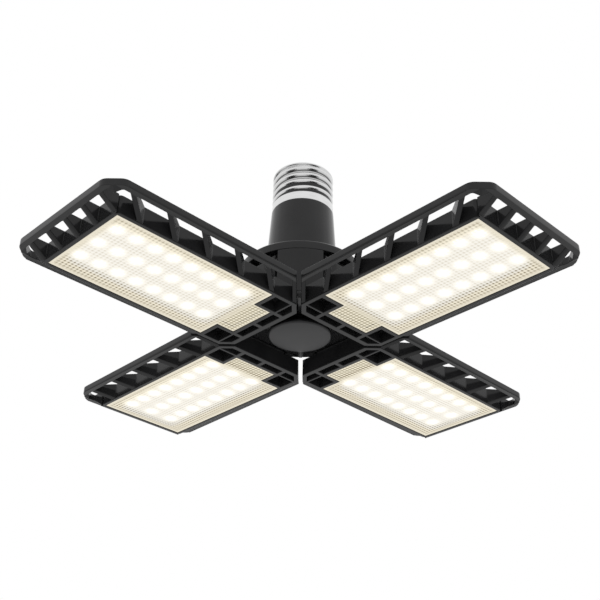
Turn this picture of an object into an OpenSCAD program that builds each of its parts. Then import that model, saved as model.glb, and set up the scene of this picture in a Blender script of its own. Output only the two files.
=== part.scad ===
// Deformable garage light: four hinged LED panels round a hub with a screw cap.
// A panel is drawn lying along +X, with u (x) measured from the hub's axis, v (y) across
// the panel and z up from the lowest edge of its frame. Panels 2 to 4 are the same panel
// turned a quarter turn each. The hub's axis is the Z axis. placed() then lowers the whole
// lamp, so that the origin lies in the middle of the screw shell that holds it.

/* [Lens and LEDs] */
// Width of the lens
lens_width = 41.1; // [36:0.1:46]
// Length of the lens from its shoulders to its outer end
lens_length = 69.2; // [60:0.1:80]
// Width of the lens's tab towards the hub
tab_width = 21; // [16:0.1:26]
// Length of the tab beyond the shoulders
tab_length = 8.2; // [6:0.1:10]
// Thickness of the lens
lens_t = 2; // [1.5:0.1:2.6]
// Clearance round the lens in its recess
lens_fit = 0.1; // [0.05:0.05:0.3]
// Rows of LED chips across the panel
led_rows = 3; // [2:1:4]
// LED chips in each row
led_columns = 8; // [5:1:10]
// Side of one LED chip
chip_side = 3; // [2:0.1:3.5]
// Height of one LED chip
chip_h = 0.7; // [0.5:0.1:1]
// Distance from the lens's ends to the middle of the outermost chips
chip_end_margin = 6.6; // [5.5:0.1:9]
// Distance from the lens's long edges to the middle of the outermost chips
chip_side_margin = 9.6; // [8:0.1:11]
// Thickness of the LED board
board_t = 1.5; // [1:0.1:2]
// Radius of a board screw's shank
board_screw_r = 0.9; // [0.7:0.1:1.1]

/* [Panel frame] */
// How far the panel's inner edge reaches in under the hub's round
edge_setback = 6.8; // [5.5:0.1:7.4]
// Gap between the slanted corners of neighbouring panels
corner_gap = 1.8; // [1.2:0.1:3]
// Height of the panel from its lower edge to its back
panel_height = 7.4; // [7:0.1:9]
// How far the frame's lip stands below the lens
lip_drop = 0.3; // [0.2:0.1:0.8]
// Thickness of the frame's back plate
back_t = 1.4; // [1.2:0.1:1.6]
// Thickness of the frame's long walls at the lens
side_wall = 1.65; // [1.4:0.05:2.2]
// Thickness of the frame's outer wall at the lens
end_wall = 1.8; // [1.5:0.1:2.4]
// Width of the ledge that the lens lies against
ledge = 1; // [0.6:0.1:1.2]

/* [Rim and ribs] */
// Gap between the frame's walls and the rim
rim_gap = 5.9; // [5:0.1:7]
// Width of the rim
rim_w = 2.4; // [1.8:0.1:3]
// Height of the rim
rim_h = 2.8; // [2.2:0.1:3.4]
// Length cut off each outer corner of the rim
rim_cut = 5.4; // [4.5:0.1:7]
// Rounding of the rim's cut corners
rim_round = 4; // [2:0.5:5]
// Thickness of the slanted ribs between the long walls and the rim
rib_t = 1.6; // [1.2:0.1:2.2]
// Angle between the slanted ribs and the long walls
rib_angle = 38.7; // [34:0.1:46]
// Thickness of the straight ribs at the outer end
end_rib_t = 2.5; // [1.8:0.1:3]
// Thickness of the rim along the slanted corners
slant_t = 1.5; // [1.2:0.1:2]
// Height of a rib's foot above the frame's lower edge
rib_foot = 0.3; // [0.1:0.1:2]
// Slanted ribs on each long side
side_ribs = 5; // [3:1:5]
// Spacing of the slanted ribs
side_pitch = 14.9; // [13:0.1:15.2]
// Distance from the outer wall to the last slanted rib's foot
side_rib_end = 10.8; // [9:0.1:13]
// Straight ribs across the outer end
end_ribs = 5; // [3:1:7]

/* [Grille] */
// Depth of the grille from the inner edge to the lens's tab
grille_depth = 7.2; // [6.5:0.1:8]
// Thickness of the grille's bar at the inner edge
inner_bar = 2.1; // [1.6:0.1:2.4]
// Thickness of the grille's bars round the lens
grille_bar = 1.8; // [1.4:0.1:2]
// Thickness of the grille's thin cross bar
thin_bar = 0.9; // [0.7:0.1:1.2]
// Depth of the grille's pockets
pocket_depth = 4.8; // [3:0.1:5.5]

/* [Heat sink] */
// Height of the fins on the panel's back
fin_h = 2.2; // [1:0.1:2.4]
// Thickness of a fin
fin_t = 1.2; // [0.9:0.1:1.6]
// Spacing of the fins along the panel
fin_pitch = 7.3; // [6:0.1:9]
// Distance from the frame's wall to the fins' ends
fin_inset = 2.8; // [2:0.1:4]

/* [Hinge] */
// Distance from the hub's round in to the hinge pin
hinge_setback = 6.2; // [5.8:0.1:6.8]
// Height of the hinge pin above the panel's lower edge
hinge_z = 23.5; // [22.5:0.1:25]
// Radius of the knuckle on the panel's arm
knuckle_r = 6; // [5:0.1:6.2]
// Width of the panel's arm and knuckle
knuckle_w = 19.2; // [16:0.1:20]
// Radius of the hinge pin
pin_r = 2; // [1.5:0.1:2.4]
// Least thickness of the hub's cheek outside the pin's ends
pin_skin = 0.9; // [0.7:0.1:1.1]
// Radial clearance of the knuckle on the pin
pin_play = 0.05; // [0.02:0.01:0.1]
// Thickness of a friction washer
washer_t = 0.9; // [0.6:0.1:1.2]
// Radius of a friction washer
washer_r = 4.6; // [4:0.1:5]
// Clearance on each side of a friction washer
washer_play = 0.05; // [0.03:0.01:0.1]
// Thickness of the arm's foot on the panel's back
foot_t = 2; // [1.6:0.1:2.6]
// Length of the arm's foot beyond the hub's round
foot_length = 13; // [10:0.5:16]
// Thickness of the arm's two stiffening webs
web_t = 1.6; // [1.2:0.1:2]
// Radius of an arm screw's shank
arm_screw_r = 1.2; // [1:0.1:1.4]

/* [Hub] */
// Radius of the hub
hub_r = 25.7; // [24.5:0.1:28]
// Clearance between the panels' backs and the hub's floor
hub_clear = 0.7; // [0.6:0.05:1]
// Clearance round the moving knuckles inside the hub
hub_play = 0.5; // [0.4:0.05:0.8]
// Thickness of the hub's base cover
base_t = 2.2; // [1.8:0.1:2.6]
// Wall of the hub's hollow core
core_wall = 1.6; // [1.2:0.1:2]
// Radius of the centre button
button_r = 12.8; // [10:0.1:13.5]
// How far the centre button stands below the hub's floor
button_drop = 4.5; // [3.5:0.1:5]
// Height of the centre button's dome
button_dome = 0.5; // [0.3:0.1:1]
// Width of the floor's diagonal ribs
floor_rib_w = 1.3; // [0.8:0.1:1.6]
// Radius of the screws through the flange
hub_screw_r = 1.5; // [1.2:0.1:1.8]
// Radius of the base cover's screws
base_screw_r = 1; // [0.8:0.1:1.2]

/* [Driver housing] */
// Thickness of the housing's flange
flange_t = 4.2; // [3:0.1:6]
// Radius of the housing at its flange
cone_r = 15; // [14.4:0.1:17]
// Radius of the housing at the screw cap
cone_top_r = 13.3; // [13.2:0.1:14]
// Height of the housing above its flange
cone_h = 29.5; // [24:0.5:40]
// Wall of the housing
housing_wall = 1.8; // [1.4:0.1:2.4]
// Thickness of the driver board
driver_t = 1.6; // [1.2:0.1:2]

/* [Screw cap] */
// Radius of the screw shell
cap_r = 13.2; // [13.1:0.05:13.2]
// Length of the screw shell
cap_length = 19.5; // [18:0.5:22]
// Thickness of the screw shell
shell_t = 0.6; // [0.4:0.1:0.8]
// Height of the insulator above the shell
insulator_h = 3; // [2.5:0.1:3.5]
// Radius of the centre contact
contact_r = 4.8; // [4:0.1:5]
// Height of the centre contact
contact_h = 1.6; // [1:0.1:2]

/* [Hidden] */
PANELS = 4;
function per_panel(name) = [for (k = [1:PANELS]) str(name, "_", k)];

$fn = 64;
OVER = 1;         // how far a cutting shape runs past what it cuts
SINK = 0.5;       // how far a fused shape reaches into its carrier
BLACK = "#2b2b2d";
DARK = "#1d1d1f";

// Places along the panel
inner_edge = hub_r - edge_setback;
hinge_u = hub_r - hinge_setback;
foot_end = hub_r + foot_length;
lens_u0 = inner_edge + grille_depth;
lens_u1 = lens_u0 + tab_length;
lens_u2 = lens_u1 + lens_length;
wall_v = lens_width / 2 + side_wall;
wall_u = lens_u2 + end_wall;
rim_v = wall_v + rim_gap + rim_w;
rim_u = wall_u + rim_gap + rim_w;
rim_z = panel_height - rim_h;
diag = corner_gap / sqrt(2);      // v = u - diag is the slanted corner's line
lens_z = lip_drop;

// Heights of the LED board and its chips
tray_z = panel_height - back_t;
board_z = tray_z - board_t;
board_u0 = lens_u1 + ledge + lens_fit;
board_u1 = lens_u2 - ledge - lens_fit;
board_v = lens_width / 2 - ledge - lens_fit;
arm_screw_depth = panel_height - board_z - 0.6;

// Hub heights and widths
slot_v = knuckle_w / 2 + washer_t + 2 * washer_play;
slot_u = min(inner_edge, hinge_u) - hub_play;
floor_z = panel_height + hub_clear;
hub_top = hinge_z + knuckle_r + hub_play;
core_v = hinge_u - knuckle_r - hub_play;
flange_top = hub_top + flange_t;
cone_top = flange_top + cone_h;
shell_top = cone_top + cap_length;
hub_screw_at = slot_v + hub_screw_r + 2;
shell_straight = cap_length - 2;
origin_z = cone_top + shell_straight / 2;
neck_r = cap_r - shell_t;
neck_h = cap_length * 0.5;
mouth_r = cap_r - 4;
drum_z = floor_z + base_t;
wire_r = 4;
hub_screw_l = hub_top - hinge_z - pin_r - 1;
hub_head_h = 2;
base_screw_l = 7;
base_screw_at = button_r * 0.43;
post_at = base_screw_at - base_screw_r - 1.4;
post_h = 9;
button_face_r = button_r - 1.4;
button_wall = 1.4;
spigot_r = button_r - 1.5;
spigot_h = 0.8;
flange_edge = 0.8;
cone_foot = 0.8;
board_half = neck_r - housing_wall - 0.6;

// A closed outline with every corner rounded: each point is [x, y, radius]. A corner is
// replaced by an arc that touches both of its sides.
function unit(a) = a / norm(a);
function corner_arc(a, b, c, r, steps = 5) =
    let (p = unit(a - b), q = unit(c - b), half = acos(p * q) / 2,
         centre = b + unit(p + q) * r / sin(half),
         from = b + p * r / tan(half) - centre, to = b + q * r / tan(half) - centre,
         sweep = 180 - 2 * half, turn = from[0] * to[1] - from[1] * to[0] > 0 ? 1 : -1)
    [for (i = [0:steps]) let (t = turn * sweep * i / steps)
        centre + [from[0] * cos(t) - from[1] * sin(t), from[0] * sin(t) + from[1] * cos(t)]];
function rounded(points) = let (n = len(points))
    [for (i = [0:n - 1]) let (a = points[(i + n - 1) % n], b = points[i], c = points[(i + 1) % n])
        each (b[2] > 0 ? corner_arc([a[0], a[1]], [b[0], b[1]], [c[0], c[1]], b[2])
                       : [[b[0], b[1]]])];

// The panel's outline seen from below: straight inner edge, slanted inner corners along
// v = u - off, long sides at half_w, and outer corners cut at 45 degrees.
function panel_outline(start, half_w, end, off, cut, r) = rounded([
    [start, -(start - off), 0], [half_w + off, -half_w, 0],
    [end - cut, -half_w, r], [end, -(half_w - cut), r],
    [end, half_w - cut, r], [end - cut, half_w, r],
    [half_w + off, half_w, 0], [start, start - off, 0]]);

// The lens's outline, grown by g: a rectangle with a tab towards the hub.
module lens_plan(g) {
    translate([lens_u1 - g, -lens_width / 2 - g])
        square([lens_length + 2 * g, lens_width + 2 * g]);
    translate([lens_u0 - g, -tab_width / 2 - g])
        square([tab_length + 2 * g + SINK, tab_width + 2 * g]);
}

// Rim: a band of width rim_w along the outer outline.
module rim_plan() {
    difference() {
        polygon(panel_outline(inner_edge, rim_v, rim_u, diag, rim_cut, rim_round));
        polygon(panel_outline(inner_edge + rim_w, rim_v - rim_w, rim_u - rim_w,
            diag + slant_t * sqrt(2), rim_cut - rim_w * (2 - sqrt(2)), rim_round / 2));
    }
}

// Slanted ribs of one long side: each leaves the wall towards the outer end and runs well
// into the rim.
module side_ribs_plan() {
    reach = (rim_gap + rim_w * 0.85) / sin(rib_angle);
    for (k = [0:side_ribs - 1])
        translate([wall_u - side_rib_end - k * side_pitch, wall_v]) rotate(rib_angle)
            translate([-SINK * 2, -rib_t]) square([reach + 2 * SINK, rib_t]);
}

// Straight ribs of the outer end, the outermost ones in line with the long walls.
module end_ribs_plan() {
    for (k = [0:end_ribs - 1])
        translate([wall_u - SINK, -wall_v + k * (2 * wall_v - end_rib_t) / (end_ribs - 1)])
            square([rim_gap + SINK + rim_w / 2, end_rib_t]);
}

module frame_plan() {
    rim_plan();
    polygon(panel_outline(inner_edge, wall_v, wall_u, diag, side_wall, side_wall));
    side_ribs_plan();
    mirror([0, 1]) side_ribs_plan();
    end_ribs_plan();
}

// What is cut away under the ribs and the rim on one side of the frame. The section runs
// from the rib's foot at the wall up to the rim's lower face, and is drawn along +X.
module under_cut(length) {
    rotate([90, 0, 90]) linear_extrude(length)
        polygon([[0, -OVER], [0, rib_foot], [rim_gap, rim_z],
                 [rim_gap + rim_w + OVER, rim_z], [rim_gap + rim_w + OVER, -OVER]]);
}

// Open cells of the grille between the inner edge and the lens.
module grille_cells() {
    a = inner_edge + inner_bar;
    b = wall_v - grille_bar;
    c = diag + grille_bar * sqrt(2);
    d = lens_u1 - grille_bar;
    difference() {
        polygon([[a, c - a], [b + c, -b], [d, -b], [d, b], [b + c, b], [a, a - c]]);
        translate([lens_u0 - grille_bar, -tab_width / 2 - grille_bar])
            square([tab_length + 2 * grille_bar, tab_width + 2 * grille_bar]);
        translate([lens_u0 - grille_bar, -wall_v]) square([thin_bar, 2 * wall_v]);
        for (v = [-tab_width / 2 - grille_bar, -grille_bar / 2, tab_width / 2])
            translate([inner_edge, v]) square([grille_depth, grille_bar]);
    }
}

// Chevron fins on the panel's back
module fins() {
    fin_v = wall_v - fin_inset;
    count = floor((wall_u - fin_inset - foot_end) / fin_pitch);
    intersection() {
        translate([0, 0, panel_height - SINK]) linear_extrude(fin_h + SINK)
            for (k = [0:count], side = [0, 1])
                mirror([0, side]) translate([wall_u - fin_v - fin_inset - k * fin_pitch, 0])
                    rotate(45) translate([-fin_t, -fin_t / 2]) square([fin_v * 2, fin_t]);
        translate([foot_end + fin_inset, -fin_v, panel_height - OVER])
            cube([wall_u - foot_end - 2 * fin_inset, 2 * fin_v, fin_h + 2 * OVER]);
    }
}

// Places of the arm's screws, in its foot between the webs
module arm_screw_places() {
    for (side = [-1, 1]) translate([hub_r + foot_length * 0.4, side * knuckle_w * 0.26, 0]) children();
}

// The hinge arm: an upright block that ends in the knuckle and is trimmed to the hub's
// round, on a foot that lies on the panel's back, with a web along each side.
module hinge_arm() color(BLACK) difference() {
    union() {
        intersection() {
            union() {
                translate([inner_edge, -knuckle_w / 2, panel_height])
                    cube([hinge_u + knuckle_r - inner_edge, knuckle_w, hinge_z - panel_height]);
                translate([hinge_u, knuckle_w / 2, hinge_z]) rotate([90, 0, 0])
                    cylinder(r = knuckle_r, h = knuckle_w);
            }
            translate([0, 0, panel_height - OVER]) cylinder(r = hub_r - 0.1, h = hinge_z + knuckle_r);
        }
        translate([inner_edge, -knuckle_w / 2, panel_height])
            cube([foot_end - inner_edge, knuckle_w, foot_t]);
        for (side = [0, 1]) mirror([0, side, 0])
            translate([0, knuckle_w / 2, 0]) rotate([90, 0, 0]) linear_extrude(web_t)
                polygon([[hub_r - 3, panel_height + foot_t / 2], [foot_end, panel_height + foot_t / 2],
                         [foot_end, panel_height + foot_t], [hub_r, (panel_height + hinge_z) / 2],
                         [hub_r - 3, (panel_height + hinge_z) / 2]]);
    }
    translate([hinge_u, knuckle_w, hinge_z]) rotate([90, 0, 0])
        cylinder(r = pin_r + pin_play, h = 2 * knuckle_w);
    arm_screw_places() translate([0, 0, panel_height - OVER])
        cylinder(r = arm_screw_r + 0.05, h = foot_t + 2 * OVER);
}

// The arm's screws reach into the panel's back, over the lens's tab.
module arm_screws() color("silver") arm_screw_places() {
    translate([0, 0, panel_height + foot_t]) cylinder(r = arm_screw_r * 1.9, h = arm_screw_r * 1.1);
    translate([0, 0, panel_height - arm_screw_depth])
        cylinder(r = arm_screw_r, h = arm_screw_depth + foot_t + SINK);
}

// Places of a board's screws, between the outer columns of chips
module board_screw_places() {
    for (u = [board_u0 + board_screw_r * 3, board_u1 - board_screw_r * 3],
         v = [-1, 1] * (board_v - board_screw_r * 3)) translate([u, v, 0]) children();
}

module panel_frame() color(BLACK) difference() {
    union() {
        difference() {
            linear_extrude(panel_height) frame_plan();
            for (side = [0, 1]) mirror([0, side, 0])
                translate([0, wall_v, 0]) under_cut(rim_u + OVER);
            translate([wall_u, rim_v + OVER, 0]) rotate([0, 0, -90]) under_cut(2 * rim_v + 2 * OVER);
        }
        fins();
    }
    translate([0, 0, -OVER]) linear_extrude(OVER + lens_z + lens_t) lens_plan(lens_fit);
    translate([board_u0 - lens_fit, -board_v - lens_fit, 0])
        cube([board_u1 - board_u0 + 2 * lens_fit, 2 * (board_v + lens_fit), tray_z]);
    translate([lens_u0 + ledge, -tab_width / 2 + ledge, 0])
        cube([tab_length + ledge, tab_width - 2 * ledge, board_z]);
    translate([0, 0, -OVER]) linear_extrude(OVER + pocket_depth) grille_cells();
    board_screw_places() translate([0, 0, tray_z - OVER])
        cylinder(r = board_screw_r + 0.05, h = OVER + back_t - 0.4);
    arm_screw_places() translate([0, 0, panel_height - arm_screw_depth - 0.1])
        cylinder(r = arm_screw_r + 0.05, h = arm_screw_depth + OVER);
}

module lens() color("#f4ecd8") translate([0, 0, lens_z]) linear_extrude(lens_t) lens_plan(0);

module led_board() color("white") difference() {
    translate([board_u0, -board_v, board_z]) cube([board_u1 - board_u0, 2 * board_v, board_t]);
    board_screw_places() translate([0, 0, board_z - OVER])
        cylinder(r = board_screw_r + 0.05, h = board_t + 2 * OVER);
}

module led_chips() color("#ffd54a")
    for (i = [0:led_columns - 1], j = [0:led_rows - 1])
        translate([lens_u1 + chip_end_margin
                       + i * (lens_length - 2 * chip_end_margin) / (led_columns - 1),
                   -lens_width / 2 + chip_side_margin
                       + j * (lens_width - 2 * chip_side_margin) / (led_rows - 1),
                   board_z - chip_h])
            translate([-chip_side / 2, -chip_side / 2, 0]) cube([chip_side, chip_side, chip_h]);

module board_screws() color("silver") board_screw_places() {
    translate([0, 0, board_z - board_screw_r * 0.8])
        cylinder(r = board_screw_r * 2, h = board_screw_r * 0.8);
    translate([0, 0, board_z - SINK]) cylinder(r = board_screw_r, h = SINK + board_t + back_t - 0.5);
}

// The pin runs through the knuckle and ends inside the hub's two cheeks.
pin_half = sqrt(pow(hub_r - pin_skin, 2) - pow(hinge_u + pin_r, 2));
module hinge_pin() color("silver") translate([hinge_u, pin_half, hinge_z]) rotate([90, 0, 0])
    cylinder(r = pin_r, h = 2 * pin_half);

module hinge_washers() color("dimgray") for (side = [0, 1]) mirror([0, side, 0])
    translate([hinge_u, knuckle_w / 2 + washer_play + washer_t, hinge_z]) rotate([90, 0, 0])
        difference() {
            cylinder(r = washer_r, h = washer_t);
            translate([0, 0, -OVER]) cylinder(r = pin_r + 0.03, h = washer_t + 2 * OVER);
        }

// Plan of the four slots in which the panels' arms stand, from u = start outwards.
module slots_plan(start) {
    for (k = [0:PANELS - 1]) rotate(k * 360 / PANELS)
        translate([start, -slot_v]) square([hub_r, 2 * slot_v]);
}

// Places of the screws in the hub's four cheeks
module cheek_places() {
    for (k = [0:PANELS - 1]) rotate([0, 0, k * 360 / PANELS])
        translate([hub_screw_at, hub_screw_at, 0]) children();
}

// Places of the base cover's screws, in the posts of the hub's core
module base_screw_places() {
    for (k = [0:PANELS - 1]) rotate([0, 0, k * 360 / PANELS])
        translate([base_screw_at, base_screw_at, 0]) children();
}

// Hub: a round drum with a slot for each panel's arm and a hollow core with corner posts.
module hub_body() color(BLACK) difference() {
    translate([0, 0, drum_z]) cylinder(r = hub_r, h = hub_top - drum_z);
    translate([0, 0, drum_z - OVER]) linear_extrude(hub_top - drum_z + 2 * OVER) slots_plan(slot_u);
    for (k = [0:PANELS - 1]) rotate([0, 0, k * 360 / PANELS]) {
        translate([hinge_u, slot_v, hinge_z]) rotate([90, 0, 0])
            cylinder(r = knuckle_r + hub_play, h = 2 * slot_v);
        translate([hinge_u, pin_half + 0.1, hinge_z]) rotate([90, 0, 0])
            cylinder(r = pin_r + 0.02, h = 2 * (pin_half + 0.1));
    }
    difference() {
        translate([-core_v + core_wall, -core_v + core_wall, drum_z - OVER])
            cube([2 * (core_v - core_wall), 2 * (core_v - core_wall),
                  hub_top - drum_z - core_wall + OVER]);
        for (k = [0:PANELS - 1]) rotate([0, 0, k * 360 / PANELS])
            translate([post_at, post_at, drum_z - 2 * OVER]) cube([core_v, core_v, post_h + 2 * OVER]);
    }
    translate([0, 0, drum_z]) cylinder(r = wire_r, h = hub_top);
    base_screw_places() translate([0, 0, drum_z - OVER])
        cylinder(r = base_screw_r + 0.05, h = OVER + base_screw_l + 0.2);
    cheek_places() translate([0, 0, hub_top - hub_screw_l - 0.2])
        cylinder(r = hub_screw_r + 0.05, h = hub_screw_l + 0.2 + OVER);
}

// The base cover closes the hub from below. Four ribs run out to the gaps between panels.
module base_cover() color(DARK) difference() {
    union() {
        translate([0, 0, floor_z]) rotate_extrude()
            polygon([[0, 0], [hub_r - 0.8, 0], [hub_r, 0.8], [hub_r, base_t], [0, base_t]]);
        for (k = [0:PANELS - 1]) rotate([0, 0, 45 + k * 360 / PANELS])
            translate([0, -floor_rib_w / 2, floor_z - hub_clear / 2])
                cube([hub_r - 1, floor_rib_w, hub_clear / 2 + SINK]);
    }
    translate([0, 0, floor_z - OVER]) linear_extrude(base_t + 2 * OVER) slots_plan(slot_u);
    translate([0, 0, floor_z - OVER]) cylinder(r = spigot_r + 0.05, h = OVER + spigot_h);
    translate([0, 0, floor_z - OVER]) difference() {
        cylinder(r = button_r + 0.1, h = OVER);
        translate([0, 0, -OVER]) cylinder(r = spigot_r, h = 3 * OVER);
    }
    base_screw_places() translate([0, 0, floor_z - OVER])
        cylinder(r = base_screw_r + 0.05, h = base_t + 2 * OVER);
}

// The centre button is a shallow cup with a domed face, whose spigot sits in the cover.
module centre_button() color("#3c3c3f") translate([0, 0, floor_z - button_drop]) rotate_extrude()
    polygon(concat(
        [for (i = [0:6]) [button_face_r * i / 6, button_dome * pow(i / 6, 2)]],
        [[button_r, button_dome + button_r - button_face_r], [button_r, button_drop],
         [spigot_r, button_drop], [spigot_r, button_drop + spigot_h],
         [spigot_r - button_wall, button_drop + spigot_h],
         [spigot_r - button_wall, button_wall + button_dome], [0, button_wall + button_dome]]));

module base_screws() color("silver") base_screw_places() {
    translate([0, 0, floor_z + spigot_h - base_screw_r * 1.2])
        cylinder(r = base_screw_r * 1.9, h = base_screw_r * 1.2);
    translate([0, 0, floor_z + spigot_h - SINK])
        cylinder(r = base_screw_r, h = SINK + base_t - spigot_h + base_screw_l);
}

module hub_screws() color("silver") cheek_places() {
    translate([0, 0, flange_top - hub_head_h]) cylinder(r = hub_screw_r * 1.8, h = hub_head_h - 0.3);
    translate([0, 0, hub_top - hub_screw_l])
        cylinder(r = hub_screw_r, h = hub_screw_l + flange_t - hub_head_h + SINK);
}

// Driver housing: round flange, slightly tapering cone and the neck that carries the shell.
module driver_housing() color(BLACK) difference() {
    union() {
        translate([0, 0, hub_top]) rotate_extrude()
            polygon([[0, 0], [hub_r, 0], [hub_r, flange_t - flange_edge],
                     [hub_r - flange_edge, flange_t], [cone_r + cone_foot, flange_t],
                     [cone_r, flange_t + cone_foot], [cone_top_r, flange_t + cone_h], [0, flange_t + cone_h]]);
        translate([0, 0, cone_top - SINK]) cylinder(r = neck_r - 0.03, h = SINK + neck_h);
    }
    translate([0, 0, hub_top - OVER]) cylinder(r = cone_r - housing_wall, h = OVER + flange_t);
    translate([0, 0, flange_top - SINK / 10])
        cylinder(r1 = cone_r - housing_wall, r2 = neck_r - housing_wall, h = cone_h + SINK / 10);
    translate([0, 0, cone_top - OVER]) cylinder(r = neck_r - housing_wall, h = neck_h + 2 * OVER);
    cheek_places() {
        translate([0, 0, hub_top - OVER]) cylinder(r = hub_screw_r + 0.05, h = flange_t + 2 * OVER);
        translate([0, 0, flange_top - hub_head_h]) cylinder(r = hub_screw_r * 1.8 + 0.3, h = flange_t);
    }
}

// The driver's board stands upright on the hub, across the housing.
module driver_board() color("#3a6b35")
    translate([-board_half, -driver_t / 2, hub_top])
        cube([2 * board_half, driver_t, flange_t + cone_h * 0.8]);

module driver_transformer() color("#c9b458")
    translate([-board_half / 2, driver_t / 2, flange_top + 1])
        cube([board_half, board_half * 0.75, cone_h * 0.36]);

module driver_capacitors() color("#223a6b") {
    translate([0, -driver_t / 2, flange_top + cone_h * 0.24]) rotate([90, 0, 0])
        cylinder(r = board_half * 0.42, h = board_half * 0.75);
    translate([0, -driver_t / 2, flange_top + cone_h * 0.6]) rotate([90, 0, 0])
        cylinder(r = board_half * 0.3, h = board_half * 0.7);
}

module driver_choke() color("#7a4a1c") translate([0, driver_t / 2, flange_top + cone_h * 0.6])
    rotate([-90, 0, 0]) difference() {
        cylinder(r = board_half * 0.4, h = board_half * 0.45);
        translate([0, 0, -OVER]) cylinder(r = board_half * 0.16, h = board_half * 0.45 + 2 * OVER);
    }

// Screw shell of the cap, without its thread: a thin cup, open in the middle of its top.
module screw_shell() color("gainsboro") translate([0, 0, cone_top]) rotate_extrude()
    polygon([[neck_r, 0], [cap_r, 0], [cap_r, shell_straight], [cap_r - 2, cap_length],
             [mouth_r, cap_length], [mouth_r, cap_length - shell_t],
             [neck_r - 1.8, cap_length - shell_t], [neck_r, cap_length - 2.2]]);

module cap_insulator() color("#26262a") translate([0, 0, shell_top]) rotate_extrude()
    polygon([[0, -shell_t - 0.6], [mouth_r - 0.02, -shell_t - 0.6], [mouth_r - 0.02, 0],
             [cap_r - 2.6, 0], [cap_r - 3.2, insulator_h * 0.35], [contact_r + 0.8, insulator_h],
             [1.02, insulator_h], [1.02, insulator_h - 1.6], [0, insulator_h - 1.6]]);

module cap_contact() color("silver") translate([0, 0, shell_top + insulator_h]) rotate_extrude()
    polygon([[0, -1.5], [1, -1.5], [1, 0], [contact_r, 0], [contact_r, contact_h * 0.35],
             [contact_r * 0.8, contact_h * 0.75], [contact_r * 0.5, contact_h], [0, contact_h]]);

module placed() translate([0, 0, -origin_z]) children();
// A panel's sub-parts, turned to their place round the hub
module turned(k) placed() rotate([0, 0, (k - 1) * 360 / PANELS]) children();

placed() hub_body();
placed() base_cover();
placed() centre_button();
placed() base_screws();
placed() hub_screws();
placed() driver_housing();
placed() driver_board();
placed() driver_transformer();
placed() driver_capacitors();
placed() driver_choke();
placed() screw_shell();
placed() cap_insulator();
placed() cap_contact();
turned(1) panel_frame();  // panel_frame_1
turned(1) hinge_arm();  // hinge_arm_1
turned(1) arm_screws();  // arm_screws_1
turned(1) lens();  // lens_1
turned(1) led_board();  // led_board_1
turned(1) led_chips();  // led_chips_1
turned(1) board_screws();  // board_screws_1
turned(1) hinge_pin();  // hinge_pin_1
turned(1) hinge_washers();  // hinge_washers_1
turned(2) panel_frame();  // panel_frame_2
turned(2) hinge_arm();  // hinge_arm_2
turned(2) arm_screws();  // arm_screws_2
turned(2) lens();  // lens_2
turned(2) led_board();  // led_board_2
turned(2) led_chips();  // led_chips_2
turned(2) board_screws();  // board_screws_2
turned(2) hinge_pin();  // hinge_pin_2
turned(2) hinge_washers();  // hinge_washers_2
turned(3) panel_frame();  // panel_frame_3
turned(3) hinge_arm();  // hinge_arm_3
turned(3) arm_screws();  // arm_screws_3
turned(3) lens();  // lens_3
turned(3) led_board();  // led_board_3
turned(3) led_chips();  // led_chips_3
turned(3) board_screws();  // board_screws_3
turned(3) hinge_pin();  // hinge_pin_3
turned(3) hinge_washers();  // hinge_washers_3
turned(4) panel_frame();  // panel_frame_4
turned(4) hinge_arm();  // hinge_arm_4
turned(4) arm_screws();  // arm_screws_4
turned(4) lens();  // lens_4
turned(4) led_board();  // led_board_4
turned(4) led_chips();  // led_chips_4
turned(4) board_screws();  // board_screws_4
turned(4) hinge_pin();  // hinge_pin_4
turned(4) hinge_washers();  // hinge_washers_4
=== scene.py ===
"""Deformable garage light: four hinged LED panels round a hub with a screw cap.

The file is laid out as an add-on and is run as a script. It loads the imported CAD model
as a fixed frame, gives the CAD nodes that stay their finishes, and puts finer pieces in
place of the others: castings and mouldings with rounded edges, prismatic lenses over a
lit layer, the threaded screw shell, the insulator and the contact, the centre button and
the cross-head screws.
"""

import math

import bmesh
import bpy
import numpy as np
from bpy.props import FloatProperty, FloatVectorProperty, IntProperty, PointerProperty
from mathutils import Matrix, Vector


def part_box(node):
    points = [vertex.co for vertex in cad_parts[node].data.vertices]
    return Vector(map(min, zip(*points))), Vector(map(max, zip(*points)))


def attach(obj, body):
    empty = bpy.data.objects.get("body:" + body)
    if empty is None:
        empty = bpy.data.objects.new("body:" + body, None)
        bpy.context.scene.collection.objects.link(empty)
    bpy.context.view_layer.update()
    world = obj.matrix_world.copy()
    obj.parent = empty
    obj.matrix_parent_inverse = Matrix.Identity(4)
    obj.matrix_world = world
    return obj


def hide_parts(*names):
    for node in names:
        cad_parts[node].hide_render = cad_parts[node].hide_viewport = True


bl_info = {
    "name": "Deformable garage light",
    "version": (1, 0, 0),
    "blender": (4, 5, 0),
    "location": "View3D > Sidebar > Garage light",
    "description": "Builds the finishes and the fine pieces of a four-panel LED garage light",
    "category": "Object",
}

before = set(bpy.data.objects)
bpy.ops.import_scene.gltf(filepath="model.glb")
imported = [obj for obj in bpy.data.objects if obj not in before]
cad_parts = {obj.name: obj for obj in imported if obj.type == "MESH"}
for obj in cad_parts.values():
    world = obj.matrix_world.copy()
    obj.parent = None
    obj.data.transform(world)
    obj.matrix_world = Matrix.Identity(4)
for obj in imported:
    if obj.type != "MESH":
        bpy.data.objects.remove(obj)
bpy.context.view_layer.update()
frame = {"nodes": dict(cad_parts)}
MM = 0.001
PANELS = (1, 2, 3, 4)

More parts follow.
